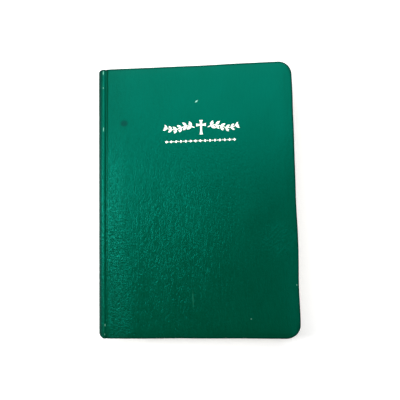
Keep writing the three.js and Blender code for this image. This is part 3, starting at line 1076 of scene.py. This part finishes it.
centre_fold()
leaf("turning_page", "turning_leaf",
     PAGE_BACK + LEAF_TURN, PRINTED)
leaf("front_endpaper_leaf", "front_flyleaf",
     PAGE_BACK + ENDPAPER_TURN, ENDPAPER)
leaf("back_endpaper_leaf", "back_flyleaf",
     PAGE_BACK + ENDPAPER_TURN, ENDPAPER)


def back_layer(kind, node, upper, low, high, material):
    """A length of lining or mull down the back of two neighbouring bundles."""
    start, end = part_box(node)
    piece = start_plate(f"{kind}_{upper:02d}", start.x, end.x, start.y, end.y, low)
    grow(low, high, 12)
    close_up(piece)
    map_surface(piece, lambda co, n: (co.y, co.z))
    smooth(dress(piece, material), 40)
    return piece


def band_length(kind, node, upper, low, high):
    """A length of the band: a round cord with the turns of its silk standing proud."""
    start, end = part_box(node)
    centre = (start + end) / 2
    radius = (end.x - start.x) / 2
    clear_selection()
    bpy.ops.mesh.primitive_circle_add(vertices=16, radius=1, fill_type="NGON",
                                      enter_editmode=True)
    piece = bpy.context.object
    piece.name = piece.data.name = f"{kind}_{upper:02d}"
    bpy.ops.transform.resize(value=(radius, radius, 1))
    bpy.ops.transform.translate(value=(centre.x, centre.y, low))
    ring, silk = 0.2 * MM, 0.5 * MM              # one ring of the mesh, one turn of the silk
    grow(low, high, round((high - low) / ring))
    close_up(piece)
    for vertex in piece.data.vertices:
        turn = 1 - 0.09 * abs(math.sin(math.pi * vertex.co.z / silk))
        vertex.co.x = centre.x + (vertex.co.x - centre.x) * turn
        vertex.co.y = centre.y + (vertex.co.y - centre.y) * turn
    map_surface(piece, lambda co, n: (math.atan2(co.y - centre.y, co.x - centre.x) * radius,
                                      co.z))
    smooth(dress(piece, BAND), 50)
    return piece


ROOT_BUNDLE = BUNDLES - 1
for upper in range(BUNDLES - 1, 0, -1):
    lower = upper + 1
    low, high = stack_span(lower, upper)
    rows = [(back_layer("lining", "spine_lining", upper, low, high, KRAFT),
             "spine_lining"),
            (back_layer("mull_gauze", "mull", upper, low, high, GAUZE), "mull"),
            (band_length("head_band", "head_band", upper, low, high), "head_band"),
            (band_length("tail_band", "tail_band", upper, low, high), "tail_band")]
    for piece, node in rows:
        bend_between(piece)
        if ROOT_BUNDLE in (lower, upper):
            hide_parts(node)

for bundle in range(1, BUNDLES + 1):
    frame["nodes"][f"sewing_thread_{bundle:02d}"].material_slots[0].material = THREAD


# ---- foil stamping ----

FOIL_LOW, FOIL_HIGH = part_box("foil_emblem")
BORDER_LOW, BORDER_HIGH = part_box("foil_border")
FOIL_THICKNESS = 0.05 * MM


def flat_shape(name, width, height, points=16, point_out=0.0):
    """A thin disc stretched to width and height; point_out draws its two ends to points."""
    clear_selection()
    bpy.ops.mesh.primitive_circle_add(vertices=points, radius=0.5, fill_type="NGON",
                                      enter_editmode=True)
    piece = bpy.context.object
    piece.name = piece.data.name = name
    if point_out:
        pick(piece, "VERT", lambda c, n: abs(abs(c.x) - 0.5) < 1e-4)
        bpy.ops.transform.resize(value=(1 + point_out, 1, 1), center_override=(0, 0, 0))
        pick_all()
        bpy.ops.transform.resize(value=(1 / (1 + point_out), 1, 1),
                                 center_override=(0, 0, 0))
    bpy.ops.transform.resize(value=(width, height, 1), center_override=(0, 0, 0))
    extrude(z=FOIL_THICKNESS)
    return close_up(piece)


def flared_bar(name, length, waist, ends):
    """A flat bar that widens at both ends, as the arm of a cross does."""
    piece = start_plate(name, -length / 2, length / 2, -waist / 2, waist / 2, 0)
    slice_at(0, steps(-length / 2, length / 2, 12))
    pick_all()
    extrude(z=FOIL_THICKNESS)
    close_up(piece)
    for vertex in piece.data.vertices:
        t = abs(vertex.co.x) / (length / 2)
        vertex.co.y *= 1 + (ends / waist - 1) * t ** 4
    return piece


def placed(piece, x, y, angle=0.0):
    piece.data.transform(Matrix.Translation((x, y, 0)) @ Matrix.Rotation(angle, 4, "Z"))
    return piece


def stem_height(t):
    """The stem's wave, from the cross at t 0 to its tip at t 1."""
    return 1.5 * MM * math.sin(2.2 * math.pi * t) * (1 - 0.35 * t)


def laurel(side, centre, reach):
    """A sprig that waves out from the cross: a stem, leaves in pairs and small berries."""
    parts = []
    bars, pairs = 26, 6
    gap = 5.2 * MM                               # from the cross's middle to the stem
    span = reach - gap
    for i in range(bars):
        t0, t1 = i / bars, (i + 1) / bars
        x0, x1 = gap + span * t0, gap + span * t1
        y0, y1 = stem_height(t0), stem_height(t1)
        length = math.hypot(x1 - x0, y1 - y0) + 0.3 * MM
        bar = flat_shape("stem", length * 1.15, (0.75 - 0.3 * t0) * MM, 8)
        parts.append(placed(bar, (x0 + x1) / 2, (y0 + y1) / 2, math.atan2(y1 - y0, x1 - x0)))
    for i in range(pairs):
        t = (i + 0.45) / pairs
        x, y = gap + span * t, stem_height(t)
        slope = math.atan2(stem_height(t + 0.01) - stem_height(t - 0.01), 0.02 * span)
        size = (4.6 - 1.5 * t) * MM
        for lift in (-1, 1):
            angle = slope + lift * math.radians(42)
            blade = flat_shape("blade", size, size * 0.4, 16, 0.3)
            reach_out = size * 0.56
            parts.append(placed(blade, x + reach_out * math.cos(angle),
                                y + reach_out * math.sin(angle), angle))
            if i < pairs - 1:
                berry = flat_shape("berry", 0.85 * MM, 0.85 * MM, 12)
                parts.append(placed(berry, x + span / pairs * 0.6,
                                    stem_height(t + 0.6 / pairs) + lift * 1.5 * MM))
    tip = flat_shape("tip", 3.2 * MM, 1.2 * MM, 16, 0.3)
    parts.append(placed(tip, reach - 1.0 * MM, stem_height(1.0), -0.2))
    for part in parts:
        if side < 0:
            part.data.transform(Matrix.Scale(-1, 4, (1, 0, 0)))
            part.data.flip_normals()
        placed(part, centre.x, centre.y)
    return parts


def lay_on_cover(piece, node, name):
    """Lets the foil follow the face of the cover and rides it there."""
    top, low = 0.07 * MM, -0.01 * MM             # over the skin, and pressed into it
    for vertex in piece.data.vertices:
        co = vertex.co
        over = top if co.z > FOIL_THICKNESS / 2 else low
        co.z = THICKNESS + face_relief(co.x, co.y) + over
    piece.name = piece.data.name = name
    smooth(dress(piece, FOIL), 40)
    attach(piece, "front_cover")
    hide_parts(node)


def stamp_emblem():
    centre = (FOIL_LOW + FOIL_HIGH) / 2
    tall = FOIL_HIGH.y - FOIL_LOW.y
    upright = placed(flared_bar("upright", tall, 1.3 * MM, 2.6 * MM), centre.x, centre.y,
                     math.pi / 2)
    arms = placed(flared_bar("arms", tall * 0.66, 1.3 * MM, 2.4 * MM), centre.x,
                  centre.y + tall / 6)
    parts = [upright, arms]
    for side in (-1, 1):
        parts += laurel(side, centre, (FOIL_HIGH.x - FOIL_LOW.x) / 2)
    lay_on_cover(joined(parts, "emblem"), "foil_emblem", "cross_and_laurel_foil")


def stamp_border():
    centre = (BORDER_LOW + BORDER_HIGH) / 2
    width = BORDER_HIGH.x - BORDER_LOW.x
    count = 15
    parts = []
    for i in range(count):
        x = centre.x + (i - (count - 1) / 2) * width / count
        parts.append(placed(flat_shape("lozenge", 2.2 * MM, 2.2 * MM, 4), x, centre.y))
        if i < count - 1:
            dot = flat_shape("dot", 0.7 * MM, 0.7 * MM, 10)
            parts.append(placed(dot, x + width / count / 2, centre.y))
    lay_on_cover(joined(parts, "border"), "foil_border", "lozenge_border_foil")


stamp_emblem()
stamp_border()


# ---- floor, light and camera ----

def floor():
    clear_selection()
    bpy.ops.mesh.primitive_plane_add(size=6, location=(0, 0, -0.02 * MM))
    piece = bpy.context.object
    piece.name = "floor"
    material, _ = new_material("floor_matt_white", Base_Color=(0.9, 0.9, 0.9, 1),
                               Roughness=0.95, Specular_IOR_Level=0.0,
                               Emission_Color=(1, 1, 1, 1), Emission_Strength=0.4)
    dress(piece, material)


def softbox(name, place, target, size, power):
    light = bpy.data.lights.new(name, "AREA")
    light.shape = "RECTANGLE"
    light.size, light.size_y = size
    light.energy = power
    lamp = bpy.data.objects.new(name, light)
    lamp.location = place
    lamp.rotation_mode = "QUATERNION"
    lamp.rotation_quaternion = (Vector(target) - Vector(place)).to_track_quat("-Z", "Y")
    bpy.context.scene.collection.objects.link(lamp)


def studio():
    """A broad window-like panel towards the head, a narrow one to the left, a faint fill."""
    softbox("head_panel", (-0.03, 0.56, 1.02), (0, 0, 0.03), (1.1, 0.8), 10.8)
    softbox("left_strip", (-0.50, 0.03, 0.60), (-0.06, 0.03, 0.03), (0.14, 0.40), 3.1)
    softbox("right_fill", (0.45, -0.22, 1.1), (0, 0, 0), (0.3, 0.5), 0.8)
    world = bpy.data.worlds.new("studio")
    bpy.context.scene.world = world
    world.use_nodes = True
    sky = world.node_tree.nodes["Background"]
    sky.inputs["Color"].default_value = (0.96, 0.98, 1.0, 1)
    # the book is lit by a dim sky; the camera sees a pale one
    dim, extra = 0.12, 0.45
    path = add(world.node_tree, "LightPath").outputs["Is Camera Ray"]
    seen = add(world.node_tree, "Math", {0: path, 1: extra, 2: dim}, operation="MULTIPLY_ADD")
    world.node_tree.links.new(seen.outputs[0], sky.inputs["Strength"])


def camera():
    """Above the book and a little to its tail and fore-edge side, turned about one degree."""
    place = Vector((34.5, -26.5, 365.35)) * MM
    aim = Vector((3.33, -0.74, 30)) * MM
    roll = math.radians(-1.057)
    lens = bpy.data.cameras.new("camera")
    lens.lens = 40.5
    lens.sensor_width = 36
    lens.clip_start = 0.01
    holder = bpy.data.objects.new("camera", lens)
    forward = (aim - place).normalized()
    right = forward.cross(Vector((0, 1, 0))).normalized()
    up = right.cross(forward)
    right, up = (right * math.cos(roll) + up * math.sin(roll),
                 up * math.cos(roll) - right * math.sin(roll))
    turn = Matrix((right, up, -forward)).transposed()
    holder.matrix_world = Matrix.Translation(place) @ turn.to_4x4()
    bpy.context.scene.collection.objects.link(holder)
    bpy.context.scene.camera = holder


floor()
studio()
camera()
bpy.context.scene.view_settings.view_transform = "Standard"

clear_selection()
